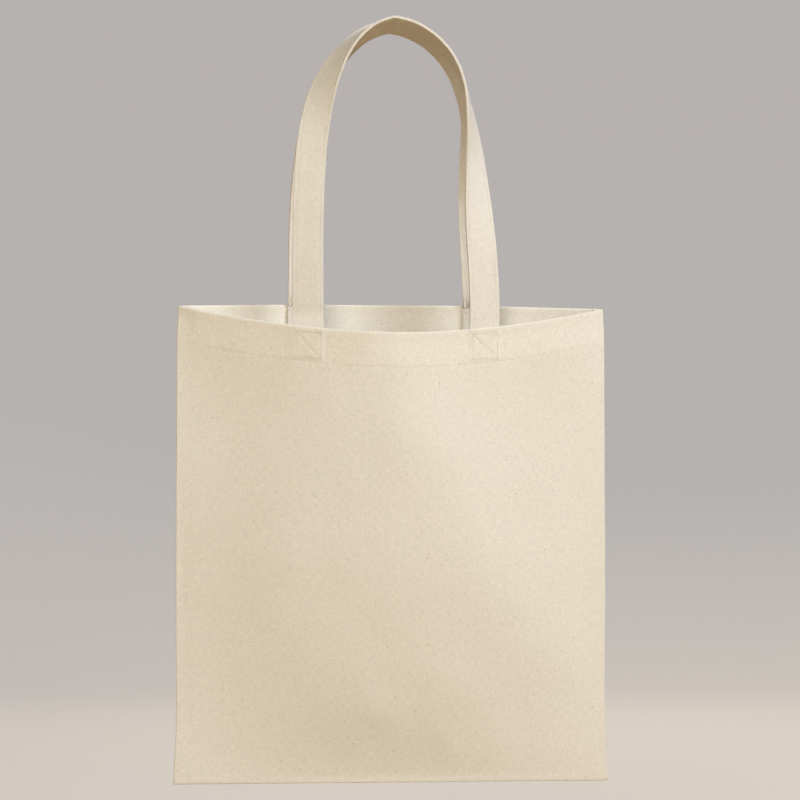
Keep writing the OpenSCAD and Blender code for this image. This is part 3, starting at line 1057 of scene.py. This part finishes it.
reach = bag["halfWidth"] - 0.002
bottomLine = [Vector((-reach + 2 * reach * k / 40, 0, bag["bottomZ"] + overlockInset))
              for k in range(41)]
overlockPieces = {
    "left_overlock": overlockLoops("left_overlock_loops", sideEdge(-1), 31),
    "right_overlock": overlockLoops("right_overlock_loops", sideEdge(1), 32),
    "bottom_overlock": overlockLoops("bottom_overlock_loops", bottomLine, 33),
}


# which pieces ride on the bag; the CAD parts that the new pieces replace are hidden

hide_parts("front_panel", "front_hem", "left_seam_allowance",
            "right_seam_allowance", "bottom_seam_allowance")
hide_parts("back_panel", "back_hem")
for side in walls:
    cloth = wallCloth[side]
    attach(cloth, "bag")
    body = side + "_handle"
    straps = [strapCloth[side], stitchPieces[side + "_handle_stitches_outside"],
              stitchPieces[side + "_handle_stitches_inside"]]
    for piece in straps:
        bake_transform(piece)
    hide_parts(body, side + "_left_strap_end", side + "_right_strap_end")
    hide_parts(side + "_handle_stitching")
    for piece in straps[1:]:
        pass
    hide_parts(side + "_hem_stitching")
    for word in ("left", "right"):
        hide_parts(side + "_" + word + "_box_stitch")
for name, piece in stitchPieces.items():
    if "handle" not in name:
        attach(piece, "bag")
for node, piece in overlockPieces.items():
    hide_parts(node)
    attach(piece, "bag")
print("pieces placed")


# floor, light and camera

studio = {
    "floorZ": bag["bottomZ"] - 0.16,
    "flatRadius": 3.6, "bendRadius": 1.6, "wallTop": 4.0, "around": 96, "bendSteps": 12,
    "floorColor": (192, 168, 134), "glow": 0.27, "glowColor": (0.82, 1.03, 1.26),
    "worldColor": (246, 240, 228), "worldStrength": 0.22,
}
# direction in degrees seen from the bag's front, distance and size in metres, power in watts
lamps = {
    "key": {"azimuth": 50, "elevation": 38, "distance": 4.0, "size": 1.8, "power": 106,
            "color": (0.93, 1.03, 1.22)},
    "fill": {"azimuth": -14, "elevation": 23, "distance": 4.0, "size": 1.6, "power": 70,
             "color": (0.99, 1.0, 0.95)},
    "rear": {"azimuth": 165, "elevation": 35, "distance": 4.0, "size": 2.2, "power": 54,
             "color": (1.0, 1.0, 1.0)},
}


def makeFloor():
    # a floor disc that bends up into a wall all round
    r, around = studio["bendRadius"], studio["around"]
    profile = [(1.0, 0.0), (2.0, 0.0), (studio["flatRadius"], 0.0)]
    for k in range(1, studio["bendSteps"] + 1):
        a = math.pi / 2 * k / studio["bendSteps"]
        profile.append((studio["flatRadius"] + r * math.sin(a), r * (1 - math.cos(a))))
    profile.append((studio["flatRadius"] + r, studio["wallTop"]))
    points = [Vector((0, 0, studio["floorZ"]))]
    for radius, z in profile:
        points += [Vector((radius * math.cos(2 * math.pi * k / around),
                           radius * math.sin(2 * math.pi * k / around),
                           studio["floorZ"] + z)) for k in range(around)]
    faces = [[0, 1 + k, 1 + (k + 1) % around] for k in range(around)]
    for i in range(len(profile) - 1):
        a, b = 1 + i * around, 1 + (i + 1) * around
        faces += [[a + k, b + k, b + (k + 1) % around, a + (k + 1) % around]
                  for k in range(around)]
    material, tree, shader = newMaterial("studio_paper")
    calc, _ = sums(tree)
    place = addNode(tree, "ShaderNodeTexCoord").outputs["Object"]
    tone = calc("MULTIPLY_ADD", noiseNode(tree, place, 1.2, 2), 0.02, 0.99)
    # the paper looks a little lighter in the picture and in gloss than its light makes it
    rays = addNode(tree, "ShaderNodeLightPath").outputs
    seen = calc("MAXIMUM", rays["Is Camera Ray"], rays["Is Glossy Ray"])
    seen = calc("MAXIMUM", seen, rays["Is Transmission Ray"])
    giveInputs(tree, shader, {
        "Base Color": toned(tree, studio["floorColor"], tone),
        "Emission Strength": calc("MULTIPLY", seen, studio["glow"]),
        "Emission Color": (*studio["glowColor"], 1),
        "Roughness": 0.95, "Specular IOR Level": 0.1})
    newPiece("studio_floor", points, faces, material)


makeFloor()
aim = Vector((0, 0, bag["bottomZ"] + 0.22))
for name, lamp in lamps.items():
    light = bpy.data.lights.new(name, "AREA")
    light.shape = "DISK"
    light.size = lamp["size"]
    light.energy = lamp["power"]
    light.color = lamp["color"]
    holder = addObject(name, light)
    azimuth, elevation = math.radians(lamp["azimuth"]), math.radians(lamp["elevation"])
    toLamp = Vector((math.sin(azimuth) * math.cos(elevation),
                     -math.cos(azimuth) * math.cos(elevation), math.sin(elevation)))
    holder.location = aim + lamp["distance"] * toLamp
    holder.rotation_euler = (aim - holder.location).to_track_quat("-Z", "Y").to_euler()
    holder.visible_camera = False

world = bpy.data.worlds.new("studio")
world.use_nodes = True
giveInputs(world.node_tree, world.node_tree.nodes["Background"],
           {"Color": linear(studio["worldColor"]), "Strength": studio["worldStrength"]})
bpy.context.scene.world = world

view = {"azimuth": -5.2, "distance": 2.2, "aboveBottom": 0.222, "aimX": 0.007,
        "pitch": 2.92, "lens": 112.66}
camera = bpy.data.cameras.new("camera")
camera.lens = view["lens"]
camera.sensor_width = 36
cameraHolder = addObject("camera", camera)
angle = math.radians(view["azimuth"])
cameraHolder.location = (math.sin(angle) * view["distance"],
                         -math.cos(angle) * view["distance"],
                         bag["bottomZ"] + view["aboveBottom"])
level = Vector((view["aimX"], 0, cameraHolder.location.z)) - cameraHolder.location
level.z = level.length * math.tan(math.radians(view["pitch"]))
cameraHolder.rotation_euler = level.to_track_quat("-Z", "Y").to_euler()
bpy.context.scene.camera = cameraHolder
bpy.context.scene.view_settings.view_transform = "Standard"

print("scene ready")
